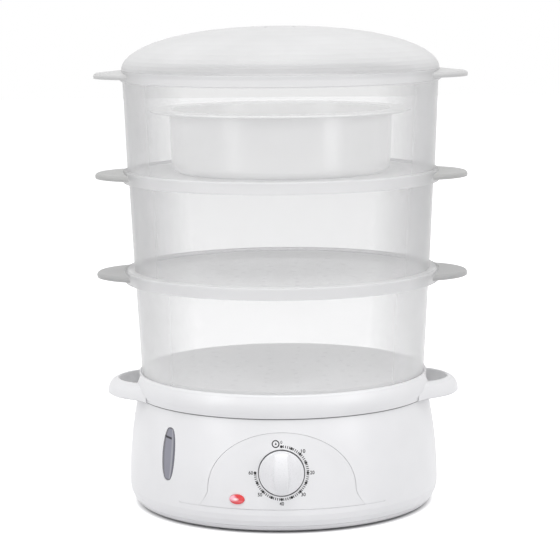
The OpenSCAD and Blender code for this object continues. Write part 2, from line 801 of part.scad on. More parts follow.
module timer_cam() {
    color("ivory") dial() translate([0, 0, cam_y]) difference() {
        cylinder(r = cam_r, h = cam_t);
        translate([0, 0, -1]) cylinder(r = shaft_r + 0.02, h = cam_t + 2);
        translate([-1.5, -cam_r - 1, -1]) cube([3, 3, cam_t + 2]);
    }
}

module mesh_place() {
    dial() rotate([0, 0, mesh_a]) translate([mesh_d, 0, 0]) children();
}

module timer_pinion() {
    color("gold") mesh_place() union() {
        translate([0, 0, gear_y - 0.5])
            rotate([0, 0, 180 / pinion_teeth + 180]) toothed(pinion_teeth, gear_t + 1);
        translate([0, 0, case_back + 0.5]) cylinder(r = arbor_r, h = case_depth + cover_t - 1);
    }
}

module timer_case() {
    color("ivory") difference() {
        dial() translate([-case_side / 2, -case_side / 2, case_back]) difference() {
            cube([case_side, case_side, case_depth]);
            translate([case_w, case_w, case_w])
                cube([case_side - 2 * case_w, case_side - 2 * case_w, case_depth]);
        }
        dial() cylinder(r = shaft_r + turn, h = case_front);
        mesh_place() cylinder(r = arbor_r + turn, h = case_back + case_w + 1);
        for (s = [-1, 1]) dial() translate([s * blade_x - blade_t / 2 - 0.03,
                -case_side / 2 - 1, cam_y - 0.03])
            cube([blade_t + 0.06, 5, cam_t + 0.06]);
    }
}

module timer_cover() {
    color("silver") difference() {
        dial() translate([0, 0, case_front]) union() {
            translate([-case_side / 2, -case_side / 2, 0]) cube([case_side, case_side, cover_t]);
            translate([-screw_x - 4, -5, 0]) cube([2 * screw_x + 8, 10, cover_t]);
        }
        dial() cylinder(r = shaft_r + turn, h = base_r);
        mesh_place() cylinder(r = arbor_r + turn, h = base_r);
        for (s = [-1, 1]) dial() translate([s * screw_x, 0, 0]) cylinder(r = 1.6, h = base_r);
    }
}

// Two spring blades: one rides under the cam, the other is the fixed contact
module timer_contacts() {
    rise = [-cam_r - slip - blade_t, -cam_r - slip - blade_t - 2.2];
    color("orange") dial() translate([0, 0, cam_y]) for (i = [0, 1]) {
        s = 2 * i - 1;
        translate([s * blade_x - blade_t / 2, -tab_end, 0])
            cube([blade_t, tab_end + rise[i] + blade_t, cam_t]);
        translate([s > 0 ? -1 : -blade_x, rise[i], 0]) cube([blade_x + (s > 0 ? 1 : 0), blade_t, cam_t]);
    }
}

bell_x = 6;

module timer_bell() {
    color("silver") dial() translate([bell_x, 5, case_back - bell_h]) union() {
        difference() {
            cylinder(r = 15, h = bell_h - 1);
            translate([0, 0, 1]) cylinder(r = 14, h = bell_h);
        }
        cylinder(r = 2, h = bell_h);
    }
}

module timer_screws() {
    color("silver") dial() for (s = [-1, 1]) translate([s * screw_x, 0, case_front])
        difference() {
            union() {
                translate([0, 0, -1.6]) cylinder(r = 2.8, h = 1.6);
                translate([0, 0, -1]) cylinder(r = 1.15, h = 4.5);
            }
            cross_slot(-1.6);
        }
}

// ================= pieces that lift off =================

module steam_ring() {
    top_r = ring_r - 6;
    color("white") translate([0, 0, tank_floor]) difference() {
        rotate_extrude() polygon([[ring_r - 2, 0], [ring_r, 0], [top_r, ring_h], [top_r - 5, ring_h],
            [top_r - 5, ring_h - 2], [top_r - 2.2, ring_h - 2]]);
        for (a = [45:90:315]) rotate([0, 0, a]) translate([-6, ring_r - 8, -1]) cube([12, 12, 7]);
    }
}

tray_floor = seam_z + 1.3;
seat_r = foot_r + slip;
drip_in = foot_r - 3;
drip_out = drip_in + tray_w;
tray_mid = seam_z + 9.5;
// The band's outer curve, from the fine groove over the housing up to the rounded rim
band_low = seam_z + 0.6;
tray_outer = concat([[base_top_r - 0.9, seam_z], [base_top_r - 0.9, band_low], [base_top_r + 0.7, band_low]],
    [for (t = steps(-1, 1, 12)) [tray_r - 1.7 * t * t,
        tray_mid + t * (t < 0 ? tray_mid - band_low - 0.4 : tray_rim_z - 2.2 - tray_mid)]],
    arc(seat_r + 1.9, tray_rim_z - 2.2, 2.2, 15, 145, 8));
tray_inner = concat([[seat_r, tray_rim_z - 1.6], [seat_r, seat_z], [drip_in, seat_z],
    [drip_in, tray_floor + 2], [chimney_r + 2, tray_floor + 2], [chimney_r + 2, tray_floor + 11],
    [chimney_r, tray_floor + 11], [chimney_r, tray_floor], [skirt_r - tray_w, tray_floor],
    [skirt_r - tray_w, ledge_z + tank_rim_t + slip], [skirt_r, ledge_z + tank_rim_t + slip],
    [skirt_r, tray_floor + 2], [drip_out, tray_floor + 4], [drip_out, seat_z - 2],
    [tray_r - 4.4, seat_z - 2], [tray_r - 2.4, tray_mid], [lip_r + slip, seam_z + 2.6],
    [lip_r + slip, seam_z]]);

// The spout's outer curve: a rounded lip, a wall that bows out and a turned-in lower edge
spout_lip = seam_z + spout_h;
spout_low = seam_z;
spout_wide_z = seam_z + 1.3;
spout_wall = [for (a = steps(80, 0, 8)) [spout_r - (spout_r - spout_open_r - 2.2) * (1 - cos(a)),
    spout_wide_z + (spout_lip - 0.7 - spout_wide_z) * sin(a)]];
spout_curve = concat(arc(spout_open_r + 1.3, spout_lip - 1.3, 1.3, 150, 40, 5), spout_wall,
    [[spout_r - 1.1, spout_low + 0.4], [spout_r - 3.2, spout_low]]);
spout_under = [[spout_open_r + 2, spout_low - 1], [spout_open_r + 2, spout_lip - 4],
    [spout_open_r + 3.4, spout_lip - 4], [spout_r - 3.6, spout_lip - 6.2], [spout_r - 2.3, spout_lip - 9],
    [spout_r - 2, spout_low + 2.4], [spout_r - 4.4, spout_low + 1.6], [spout_r - 5.2, spout_low - 1]];
spout_floor = seam_z + 0.9;
chute_half = 18;

module spout_body() {
    translate([spout_x, 0, 0]) rotate_extrude()
        polygon(concat([[0, spout_low]], [[0, spout_lip - 1]], spout_curve));
}

// The soft corner on one side of a spout: a post cut hollow by a shape that touches band and spout
corner_band = tray_r + fillet_r;
corner_spout = spout_r + fillet_r + 0.1;
corner_x = (corner_band * corner_band + spout_x * spout_x - pow(spout_r + fillet_r, 2)) / (2 * spout_x);
corner_y = chord_y(corner_band, corner_x);
function meet(r0, r1) = let (x = (r0 * r0 + spout_x * spout_x - r1 * r1) / (2 * spout_x)) [x, chord_y(r0, x)];

module spout_corner() {
    centre = [corner_x, corner_y];
    difference() {
        translate([0, 0, band_low]) linear_extrude(spout_lip - 0.7 - band_low) polygon([centre,
            centre * tray_r / corner_band, meet(tray_r - 2, spout_r - 6),
            [spout_x, 0] + (centre - [spout_x, 0]) * spout_r / (spout_r + fillet_r)]);
        translate([corner_x, corner_y, 0]) rotate_extrude() polygon(concat([[0, spout_low - 1], [0, spout_lip]],
            [for (p = concat([[spout_open_r + 2, spout_lip]], spout_wall)) [corner_spout - p.x, p.y]],
            [[corner_spout - spout_r, spout_low - 1]]));
    }
}

module drip_tray() {
    color("white") difference() {
        union() {
            rotate_extrude() polygon(concat(tray_outer, tray_inner));
            for (a = [0, 180]) rotate([0, 0, a]) {
                difference() {
                    spout_body();
                    translate([0, 0, spout_low - 1]) cylinder(r = tray_r - 2.4, h = 40);
                    translate([spout_x, 0, spout_floor + 2]) cylinder(r = spout_open_r, h = 40);
                    translate([spout_x, 0, spout_low - 1])
                        cylinder(r = spout_open_r + 2.2, h = spout_floor - spout_low + 1);
                    translate([spout_x, 0, 0]) rotate_extrude() polygon(spout_under);
                }
                intersection() {
                    translate([0, 0, spout_floor]) ring(tray_r - 2, lip_r - 1.5, 2);
                    translate([spout_x, 0, 0]) cylinder(r = spout_open_r + 1, h = tray_rim_z);
                }
                spout_corner();
                mirror([0, 1, 0]) spout_corner();
                translate([drip_in - 15, -chute_half - tray_w, tray_floor + 1])
                    cube([16, 2 * (chute_half + tray_w), 10.5]);
            }
        }
        for (a = [0, 180]) rotate([0, 0, a]) {
            difference() {
                translate([spout_x, 0, spout_floor + 2]) cylinder(r = spout_open_r, h = 40);
                translate([0, 0, spout_floor]) cylinder(r = seat_r + tray_w - 0.2, h = 60);
            }
            translate([drip_in - 13, -chute_half, spout_floor + 2])
                cube([21, 2 * chute_half, 10]);
            translate([drip_in - 13, -chute_half, tray_floor - 1])
                cube([11, 2 * chute_half, 5]);
        }
    }
}

// Rings of drain holes: distance from the centre and number of holes
drain_rings = [[18, 6], [36, 10], [54, 14], [72, 18], [90, 22]];

// Section of a basket's wall: foot, leaning wall, step that carries the next foot, and rim
function wall_at(i, z) = tier_foot(i) + (tier_wall(i) - tier_foot(i)) * z / (basket_h - basket_nest);
function under_rim(i, c) = let (
    rt = tier_wall(i), low = basket_h - rim_h, skirt_in = rim_r - basket_w,
    ledge = basket_h - basket_nest - basket_w)
    rt > skirt_in - 1 ? [[wall_at(i, low), low], [rim_r, low + 0.6]]
        : concat([[wall_at(i, ledge - 1.2), ledge - 1.2], [rt + 0.8, ledge]],
            c + basket_w > skirt_in - 1 ? [[skirt_in, ledge]]
                : [[c + basket_w, ledge + 0.6], [c + basket_w, basket_h - basket_w],
                    [skirt_in, basket_h - basket_w - 0.8]],
            [[skirt_in, low], [rim_r, low]]);
function basket_section(i, c) = let (
    rf = tier_foot(i), w = basket_w, h = basket_h, step_z = h - basket_nest, in = tier_wall(i) - w)
    concat([[rf - w, 0], [rf, 0]], under_rim(i, c), arc(rim_r - 1.2, h - 1.2, 1.2, 0, 90, 5), [[c, h]],
        c > in + 0.1 ? [[c, step_z], [in, step_z]] : [[in, step_z]], [[rf - w + 0.2, 4.5]]);

module basket(i, collar) {
    floor_z = 2.5;
    union() {
        rotate_extrude() polygon(basket_section(i, collar));
        translate([0, 0, floor_z]) linear_extrude(2) difference() {
            circle(r = tier_foot(i) - basket_w / 2);
            for (k = drain_rings) for (a = [1:k[1]]) rotate(360 * a / k[1])
                translate([k[0] * tier_foot(i) / foot_r, 0]) circle(r = drain_r, $fn = 16);
        }
        for (a = [0, 180]) rotate([0, 0, a]) difference() {
            translate([wing_x, 0, 0]) wing();
            translate([0, 0, -1]) cylinder(r = rim_r - basket_w / 2, h = basket_h + 2);
        }
        for (a = [0, 180]) rotate([0, 0, a]) difference() {
            translate([wing_x, 0, 0]) wing_root(wall_at(i, basket_h - 13) - wing_x - 0.2);
            translate([0, 0, -1]) cylinder(r = tier_wall(i) - basket_w / 2, h = basket_h + 2);
            translate([0, 0, basket_h - basket_nest - basket_w / 2])
                cylinder(r = collar + basket_w / 2, h = basket_nest + 2);
        }
    }
}

// A handle: a thin round tab that falls away from the rim, with a turned-down edge
module wing() {
    top = basket_h - 0.4;
    edge = top - wing_fall;
    root = rim_r - wing_x;
    rotate_extrude() polygon(concat([[0, top - 2]], [[0, top], [root, top]],
        arc(wing_r - 2.6, edge - 2.6, 2.6, 82, 0, 6), [[wing_r - 0.2, edge - wing_t],
        [wing_r - 1.9, edge - wing_t], [wing_r - 2.2, edge - 2.6], [wing_r - 3.4, edge - 2], [root, top - 2]]));
}

// The root under a handle flows from its underside to the wall, at r_in from the handle's own centre
module wing_root(r_in) {
    out = rim_r + root_out - wing_x - r_in;
    top = basket_h - wing_fall - wing_t - 0.3;
    rotate_extrude() polygon([[0, basket_h - 1.6], [0, top - 4.9], [r_in, top - 4.9],
        [r_in + 0.14 * out, top - 3.6], [r_in + 0.56 * out, top - 1.6], [r_in + out, top],
        [r_in + out - 1, basket_h - 1.6]]);
}

module basket_low() {
    color("gainsboro", 0.6) translate([0, 0, seat_z]) basket(0, tier_foot(1) + slip);
}

module basket_mid() {
    color("gainsboro", 0.6) translate([0, 0, seat_z + pitch]) basket(1, tier_foot(2) + slip);
}

module basket_top() {
    color("gainsboro", 0.6) translate([0, 0, seat_z + 2 * pitch])
        basket(2, tier_wall(2) - basket_w);
}

bowl_z = seat_z + 2 * pitch + 4.5;

module rice_bowl() {
    w = bowl_w;
    toe = 7;
    foot = bowl_r - 1.5;
    color("white") translate([0, 0, bowl_z]) rotate_extrude() polygon(concat([[0, 0]],
        arc(foot - toe, toe, toe, -90, 0, 6), [[bowl_r, bowl_h - w - 1], [bowl_r + 1, bowl_h - w]],
        arc(bowl_rim_r - 1, bowl_h - 1, 1, -90, 90, 6),
        [[bowl_r - w + 0.6, bowl_h], [bowl_r - w, bowl_h - 1.4]],
        arc(foot - toe, toe, toe - w, 0, -90, 6), [[0, w]]));
}

function dome_z(r, r0, h) = h * sqrt(max(0, 1 - pow(r / r0, 2.2)));
dome_radii = [0, 0.15, 0.3, 0.45, 0.58, 0.7, 0.79, 0.86, 0.91, 0.95, 0.975, 0.99, 0.998];

module lid() {
    lip = tier_wall(2) - basket_w - slip;
    color("gainsboro", 0.6) translate([0, 0, lid_z]) difference() {
        rotate_extrude() polygon(concat(
            [for (k = dome_radii) [k * lid_r, dome_z(k * lid_r, lid_r, lid_h)]],
            [[lid_r, 0], [lip, 0], [lip, -4], [lip - lid_w, -4], [lip - lid_w, 2]],
            [for (i = [len(dome_radii) - 2:-1:0]) let (r = dome_radii[i] * (lid_r - lid_w - 1.2))
                [r, max(2.4, dome_z(r, lid_r - lid_w, lid_h - lid_w))]]));
        for (a = [0:60:300]) rotate([0, 0, a]) translate([22, 0, 0])
            cylinder(r = vent_r, h = lid_h + 5);
    }
}

base_housing();
bottom_plate();
rubber_feet();
plate_screws();
control_panel();
water_gauge();
gauge_seal();
pilot_lens();
neon_lamp();
lamp_holder();
water_tank();
heating_element();
heater_bushes();
heater_seals();
heater_nuts();
thermostat();
thermostat_screws();
thermal_fuse();
terminal_block();
cord_gland();
supply_lead();
heater_lead();
return_lead();
thermostat_lead();
lamp_leads();
timer_knob();
timer_shaft();
timer_gear();
timer_cam();
timer_pinion();
timer_case();
timer_cover();
timer_contacts();
timer_bell();
timer_screws();
steam_ring();
drip_tray();
basket_low();
basket_mid();
basket_top();
rice_bowl();
lid();
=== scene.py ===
# Electric food steamer: a white base with a timer, a drip tray, three frosted baskets, a rice bowl and a lid.
# Metres, +Z up, front towards -Y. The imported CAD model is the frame; the looks are made round it.
import math

import bmesh
import bpy
from mathutils import Matrix, Vector
from mathutils.bvhtree import BVHTree


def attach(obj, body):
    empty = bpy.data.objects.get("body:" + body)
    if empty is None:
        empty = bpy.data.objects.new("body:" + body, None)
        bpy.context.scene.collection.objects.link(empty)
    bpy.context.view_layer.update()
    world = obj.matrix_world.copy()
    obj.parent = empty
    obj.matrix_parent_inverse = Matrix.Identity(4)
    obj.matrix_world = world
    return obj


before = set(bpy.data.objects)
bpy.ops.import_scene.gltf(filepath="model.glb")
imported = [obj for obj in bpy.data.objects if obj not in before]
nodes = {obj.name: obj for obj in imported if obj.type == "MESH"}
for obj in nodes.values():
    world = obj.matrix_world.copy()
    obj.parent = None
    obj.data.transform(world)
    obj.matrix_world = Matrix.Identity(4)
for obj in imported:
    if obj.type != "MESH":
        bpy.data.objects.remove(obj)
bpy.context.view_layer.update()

# ---------------------------------------------------------------------------
# Camera and studio: a long lens a little above the lid, looking slightly down, as the product was
# photographed. A white sweep, a white sky and soft lamps on both sides light it evenly.
# ---------------------------------------------------------------------------
photo_px = 560
focal_px = 2139.3
frame_slip_px = 2.1
sensor_mm = 36
camera_far = 1.72
camera_height = 0.42236
camera_pitch = 0.14
camera_roll = math.radians(0.5)
camera_orbit = math.radians(0.8)

camera = bpy.data.objects.new("camera", bpy.data.cameras.new("camera"))
camera.data.sensor_width = sensor_mm
camera.data.lens = sensor_mm * focal_px / photo_px
camera.data.shift_x = -frame_slip_px / photo_px
camera.matrix_world = (Matrix.Rotation(camera_orbit, 4, "Z") @ Matrix.Translation((0, -camera_far, camera_height))
                       @ Matrix.Rotation(math.pi / 2 - camera_pitch, 4, "X")
                       @ Matrix.Rotation(-camera_roll, 4, "Z"))

scene = bpy.context.scene
scene.collection.objects.link(camera)
bpy.context.scene.camera = camera
scene.view_settings.view_transform = "Standard"
# Six frosted walls stand one behind the other, so light gets enough steps to pass them all.
scene.cycles.transparent_max_bounces = 48

white = (1, 1, 1, 1)
sky_light = 0.62
lamp_aim = Vector((0, 0, 0.17))
sweep_colour = (0.62, 0.62, 0.63, 1)
sweep_rough = 0.9
sweep_reach = 6.0
# The sweep's own glow, from under the base to the open floor, and the distances from the axis between them.
# The glow drops round the base as a painted contact shadow.
sweep_glow = (0.0, 0.72)
shadow_edge = (0.1155, 0.1228)


def calc(tree, operation, *terms):
    """One step of arithmetic in a node tree. The terms are sockets or plain numbers."""
    node = tree.nodes.new("ShaderNodeMath")
    node.operation = operation
    for socket, term in zip(node.inputs, terms):
        if isinstance(term, (int, float)):
            socket.default_value = term
        else:
            tree.links.new(term, socket)
    return node.outputs[0]


def ramp(tree, value, low, high, start=0.0, end=1.0):
    """Goes evenly from start to end while the value goes from low to high, and stays level outside."""
    node = tree.nodes.new("ShaderNodeMapRange")
    tree.links.new(value, node.inputs["Value"])
    for name, number in (("From Min", low), ("From Max", high), ("To Min", start), ("To Max", end)):
        node.inputs[name].default_value = number
    return node.outputs[0]


def axes(tree):
    """The place on the object as x, y and z sockets."""
    place = tree.nodes.new("ShaderNodeTexCoord")
    split = tree.nodes.new("ShaderNodeSeparateXYZ")
    tree.links.new(place.outputs["Object"], split.inputs[0])
    return split.outputs[:]


def off_axis(tree, x, y):
    """The distance from the axis x = y = 0."""
    return calc(tree, "SQRT", calc(tree, "ADD", calc(tree, "MULTIPLY", x, x), calc(tree, "MULTIPLY", y, y)))


def seen_directly(tree):
    """1 for rays that come from the camera, a reflection or a clear piece, and 0 for light on the object."""
    paths = tree.nodes.new("ShaderNodeLightPath").outputs
    total = calc(tree, "MAXIMUM", paths["Is Camera Ray"], paths["Is Glossy Ray"])
    return calc(tree, "MAXIMUM", total, paths["Is Transmission Ray"])


sky = bpy.data.worlds.new("white_sky")
scene.world = sky
sky.use_nodes = True
sky_nodes, sky_links = sky.node_tree.nodes, sky.node_tree.links
lit = sky_nodes["Background"]
lit.inputs["Color"].default_value = white
lit.inputs["Strength"].default_value = sky_light
shown = sky_nodes.new("ShaderNodeBackground")
shown.inputs["Color"].default_value = white
shown.inputs["Strength"].default_value = 1.0
pick = sky_nodes.new("ShaderNodeMixShader")
sky_links.new(seen_directly(sky.node_tree), pick.inputs["Fac"])
sky_links.new(lit.outputs[0], pick.inputs[1])
sky_links.new(shown.outputs[0], pick.inputs[2])
sky_links.new(pick.outputs[0], sky_nodes["World Output"].inputs["Surface"])


def softbox(name, place, width, height, watts):
    """A soft rectangular lamp that looks at the middle of the steamer."""
    lamp = bpy.data.lights.new(name, "AREA")
    lamp.shape = "RECTANGLE"
    lamp.size, lamp.size_y, lamp.energy = width, height, watts
    stand = bpy.data.objects.new(name, lamp)
    stand.location = place
    stand.rotation_euler = (lamp_aim - Vector(place)).to_track_quat("-Z", "Y").to_euler()
    scene.collection.objects.link(stand)


softbox("softbox_left", place=(-1.5, -1.3, 0.7), width=0.7, height=1.4, watts=8)
softbox("softbox_right", place=(1.6, -1.2, 0.6), width=0.6, height=1.4, watts=8)
softbox("softbox_above", place=(0.0, -0.5, 1.8), width=1.4, height=1.0, watts=13)

sweep_mesh = bpy.data.meshes.new("sweep")
sweep_bm = bmesh.new()
bmesh.ops.create_circle(sweep_bm, cap_ends=True, segments=64, radius=sweep_reach)
sweep_bm.to_mesh(sweep_mesh)
sweep_bm.free()
sweep = bpy.data.objects.new("sweep", sweep_mesh)
scene.collection.objects.link(sweep)
sweep_paint = bpy.data.materials.new("sweep_paper")
sweep_paint.use_nodes = True
paper_tree = sweep_paint.node_tree
paper = paper_tree.nodes["Principled BSDF"]
paper.inputs["Base Color"].default_value = sweep_colour
paper.inputs["Roughness"].default_value = sweep_rough
glow = paper_tree.nodes.new("ShaderNodeEmission")
glow.inputs["Color"].default_value = white
paper_x, paper_y, _ = axes(paper_tree)
# Painted contact shadow: for the camera the sweep glows less close round the base.
glow_with_painted_shadow = ramp(paper_tree, off_axis(paper_tree, paper_x, paper_y), *shadow_edge, *sweep_glow)
paper_tree.links.new(calc(paper_tree, "MULTIPLY", seen_directly(paper_tree), glow_with_painted_shadow), glow.inputs["Strength"])
both = paper_tree.nodes.new("ShaderNodeAddShader")
paper_tree.links.new(paper.outputs[0], both.inputs[0])
paper_tree.links.new(glow.outputs[0], both.inputs[1])
paper_tree.links.new(both.outputs[0], paper_tree.nodes["Material Output"].inputs["Surface"])
sweep_mesh.materials.append(sweep_paint)

# ---------------------------------------------------------------------------
# Body: the housing and its bottom plate are white moulded ABS with a fine satin grain. The plate is
# screwed on from below and closes the base. Painted shade darkens the housing's edge in the seam under
# the tray.
# ---------------------------------------------------------------------------
body_white = (0.85, 0.85, 0.865)
# Painted shade in the seam under the tray: it darkens the housing's rim over the height housing_edge, and the
# tray's lower edge.
seam_painted_shade = (0.25, 0.25, 0.26)
housing_edge = (0.0885, 0.0887)
# A finish's clouds per metre, and the span of their noise over which the colour goes from dark to light.
cloud_scale = 22
cloud_span = (0.35, 0.65)
gloss_spread = 0.15
bump_strength = 0.5


def moulded(name, colour, rough=0.34, grain=0.0009, relief=0.00002, cloud=0.02, metallic=0.0):
    """A moulded or milled finish: one colour with a slight cloudiness, and a fine grain that varies its gloss."""
    finish = bpy.data.materials.new(name)
    finish.use_nodes = True
    tree, link = finish.node_tree.nodes, finish.node_tree.links.new
    shader = tree["Principled BSDF"]
    place = tree.new("ShaderNodeTexCoord")
    clouds = tree.new("ShaderNodeTexNoise")
    clouds.inputs["Scale"].default_value = cloud_scale
    clouds.inputs["Detail"].default_value = 2
    tones = tree.new("ShaderNodeValToRGB")
    for tone, position, change in zip(tones.color_ramp.elements, cloud_span, (-cloud, cloud)):
        tone.position = position
        tone.color = (*[min(c * (1 + change), 1) for c in colour], 1)
    grains = tree.new("ShaderNodeTexNoise")
    grains.inputs["Scale"].default_value = 1 / grain
    grains.inputs["Detail"].default_value = 3
    gloss = tree.new("ShaderNodeMapRange")
    gloss.inputs["To Min"].default_value = rough * (1 - gloss_spread)
    gloss.inputs["To Max"].default_value = rough * (1 + gloss_spread)
    bump = tree.new("ShaderNodeBump")
    bump.inputs["Strength"].default_value = bump_strength
    bump.inputs["Distance"].default_value = relief
    link(place.outputs["Object"], clouds.inputs["Vector"])
    link(place.outputs["Object"], grains.inputs["Vector"])
    link(clouds.outputs["Fac"], tones.inputs["Fac"])
    link(tones.outputs["Color"], shader.inputs["Base Color"])
    link(grains.outputs["Fac"], gloss.inputs["Value"])
    link(gloss.outputs["Result"], shader.inputs["Roughness"])
    link(grains.outputs["Fac"], bump.inputs["Height"])
    link(bump.outputs["Normal"], shader.inputs["Normal"])
    shader.inputs["Metallic"].default_value = metallic
    return finish


def tint(finish, zone, colour):
    """Lays a second colour over a finish where the zone is 1."""
    tree = finish.node_tree
    mix = tree.nodes.new("ShaderNodeMixRGB")
    base_colour = tree.nodes["Principled BSDF"].inputs["Base Color"]
    tree.links.new(base_colour.links[0].from_socket, mix.inputs["Color1"])
    mix.inputs["Color2"].default_value = (*colour, 1)
    tree.links.new(zone, mix.inputs["Fac"])
    tree.links.new(mix.outputs[0], base_colour)


def dress(finish, *names):
    """Gives these CAD nodes the finish."""
    for name in names:
        slots = nodes[name].data.materials
        slots.clear()
        slots.append(finish)


abs_white = moulded("abs_white", body_white)
body_tree = abs_white.node_tree
# Painted shade at the top of the housing's rim, in the seam.
tint(abs_white, ramp(body_tree, axes(body_tree)[2], *housing_edge), seam_painted_shade)
dress(abs_white, "base_housing", "bottom_plate")

# ---------------------------------------------------------------------------
# Dial print: black ink on the panel. A dot every five minutes and four ticks between them run
# clockwise from the top over three quarters of a turn, with plain numbers and a small clock mark.
# ---------------------------------------------------------------------------
dial_centre = Vector((0, 0, 0.0485))
dial_ring = 0.0202
number_ring = 0.0235
minutes = 60
dial_sweep = math.radians(270)
dot_radius = 0.0011
dot_steps = 16
tick_size = (0.00062, 0.002)
number_size = (0.0034, 0.00286)
zero_size = (0.0015, 0.0023)
number_weight = 0.02
clock_place = (-0.00436, 0.0222)
clock_ring = (0.00215, 0.003)
clock_steps = 40
clock_hand = 0.0008
clock_hand_corners = ((-0.8, -0.8), (0.9, -0.8), (0.9, 0.2), (0.1, 1.4))
ink_proud = 0.00004
ink_deep = 0.00015
in_front_of_panel = -0.3

panel_skin = BVHTree.FromObject(nodes["control_panel"], bpy.context.evaluated_depsgraph_get())


def on_panel(x, z):
    """The depth of the panel's face behind a point that stands in front of it."""
    hit = panel_skin.ray_cast(Vector((x, in_front_of_panel, z)), Vector((0, 1, 0)))[0]
    return hit.y


def printed(name, flat, ink):
    """A thin layer of ink from a flat drawing in x and z round the dial's centre, laid on the panel's face."""
    thick = bmesh.ops.extrude_face_region(flat, geom=flat.faces[:])
    front = {v for v in thick["geom"] if isinstance(v, bmesh.types.BMVert)}
    for v in flat.verts:
        x, z = v.co.x, v.co.y + dial_centre.z
        v.co = Vector((x, on_panel(x, z) + (-ink_proud if v in front else ink_deep), z))
    bmesh.ops.recalc_face_normals(flat, faces=flat.faces)
    mesh = bpy.data.meshes.new(name)
    flat.to_mesh(mesh)
    flat.free()
    mesh.materials.append(ink)
    piece = bpy.data.objects.new(name, mesh)
    scene.collection.objects.link(piece)
    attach(piece, "base")


def ring_of_points(flat, centre, radius, count):
    """Points evenly round a circle in a flat drawing."""
    turns = [2 * math.pi * i / count for i in range(count)]
    return [flat.verts.new((centre[0] + radius * math.cos(a), centre[1] + radius * math.sin(a), 0)) for a in turns]


def patch(flat, corners):
    """A filled polygon in a flat drawing."""
    flat.faces.new([flat.verts.new((x, y, 0)) for x, y in corners])


ink_black = moulded("ink_black", (0.012, 0.012, 0.013), rough=0.5, cloud=0.2)
ink_grey = moulded("ink_grey", (0.014, 0.014, 0.015), rough=0.5, cloud=0.2)
ink_pale = moulded("ink_pale", (0.1, 0.1, 0.105), rough=0.5, cloud=0.1)

dots, ticks = bmesh.new(), bmesh.new()
for minute in range(minutes + 1):
    turn = dial_sweep * minute / minutes
    out, along = Vector((math.sin(turn), math.cos(turn))), Vector((math.cos(turn), -math.sin(turn)))
    if minute % 5 == 0:
        dots.faces.new(ring_of_points(dots, out * dial_ring, dot_radius, dot_steps))
    else:
        half_w, half_h = along * tick_size[0] / 2, out * tick_size[1] / 2
        patch(ticks, [out * dial_ring + a * half_w + b * half_h
                      for a, b in ((-1, -1), (1, -1), (1, 1), (-1, 1))])
printed("dial_dots", dots, ink_black)
printed("dial_ticks", ticks, ink_grey)

clock = bmesh.new()
inner, outer = [ring_of_points(clock, clock_place, radius, clock_steps) for radius in clock_ring]
for i in range(clock_steps):
    j = (i + 1) % clock_steps
    clock.faces.new((inner[i], outer[i], outer[j], inner[j]))
patch(clock, [(clock_place[0] + x * clock_hand, clock_place[1] + y * clock_hand) for x, y in clock_hand_corners])
printed("dial_clock_mark", clock, ink_grey)

for number in range(0, minutes + 1, 10):
    turn = dial_sweep * number / minutes
    words = bpy.data.curves.new(f"number_{number}", "FONT")
    words.body = str(number)
    words.align_x, words.align_y = "CENTER", "CENTER"
    words.resolution_u = 3
    words.offset = number_weight
    drawn = bpy.data.objects.new("drawn", words)
    scene.collection.objects.link(drawn)
    flat = bmesh.new()
    flat.from_mesh(drawn.to_mesh())
    drawn.to_mesh_clear()
    bpy.data.objects.remove(drawn)
    bmesh.ops.remove_doubles(flat, verts=flat.verts, dist=1e-6)
    # The drawn number is fitted to its size, and its middle goes to its place on the ring.
    low, high = ([side(v.co[i] for v in flat.verts) for i in range(2)] for side in (min, max))
    size = number_size if number else zero_size
    middle = (number_ring * math.sin(turn), number_ring * math.cos(turn))
    for v in flat.verts:
        for i in range(2):
            v.co[i] = middle[i] + ((v.co[i] - low[i]) / (high[i] - low[i]) - 0.5) * size[i]
    printed(f"dial_number_{number}", flat, ink_grey if number else ink_pale)

# ---------------------------------------------------------------------------
# Timer knob and its panel: both white moulded ABS. The knob is a little glossier, is pushed on the
# timer's shaft and sinks into the panel, which sits flush in the housing. Painted shade darkens the
# panel in the gap round it.
# ---------------------------------------------------------------------------
# Painted shade in the gap round the knob: the panel darkens inside these distances from the dial's centre.
knob_gap = (0.01815, 0.01795)
gap_painted_shade = (0.2, 0.2, 0.21)
dress(moulded("knob_white", (0.85, 0.85, 0.87), rough=0.28, relief=0.000004), "timer_knob")
panel_white = moulded("panel_white", (0.835, 0.835, 0.85))
panel_tree = panel_white.node_tree
panel_x, _, panel_z = axes(panel_tree)
from_dial = off_axis(panel_tree, panel_x, calc(panel_tree, "SUBTRACT", panel_z, dial_centre.z))
# Painted shade in the knob's gap.
tint(panel_white, ramp(panel_tree, from_dial, *knob_gap), gap_painted_shade)
dress(panel_white, "control_panel")

# ---------------------------------------------------------------------------
# Water gauge: a smoked clear window on the tank's pocket, with a rubber gasket behind it. A dark
# line inside it marks the level, and its right edge shows the depth of the window.
# ---------------------------------------------------------------------------
gauge_turn = math.radians(-46)
gauge_size = (0.0144, 0.0411)
gauge_middle = 0.0349 + gauge_size[1] / 2
# The window's half width is a power of what is left of its height, and a little stays at the ends.
half_width_at_ends = 1.02
half_width_power = 0.36
# Zones across the window, as shares of its half width there: a dark rim, a pale stripe, the other rim.
left_rim, left_grey = (-0.62, -0.86), (0.17, 0.17, 0.19)
stripe_start, stripe_end, stripe_grey = (0.3, 0.42), (0.66, 0.54), (0.36, 0.36, 0.4)
right_rim, right_grey = (0.62, 0.74), (0.14, 0.14, 0.17)
end_rim, end_grey = (0.93, 0.97), (0.15, 0.15, 0.17)
level_height = 0.0125
level_slope = 0.12
level_half_thick = (0.0010, 0.0006)
level_reach = (0.34, 0.28)
level_ink = (0.012, 0.012, 0.02)

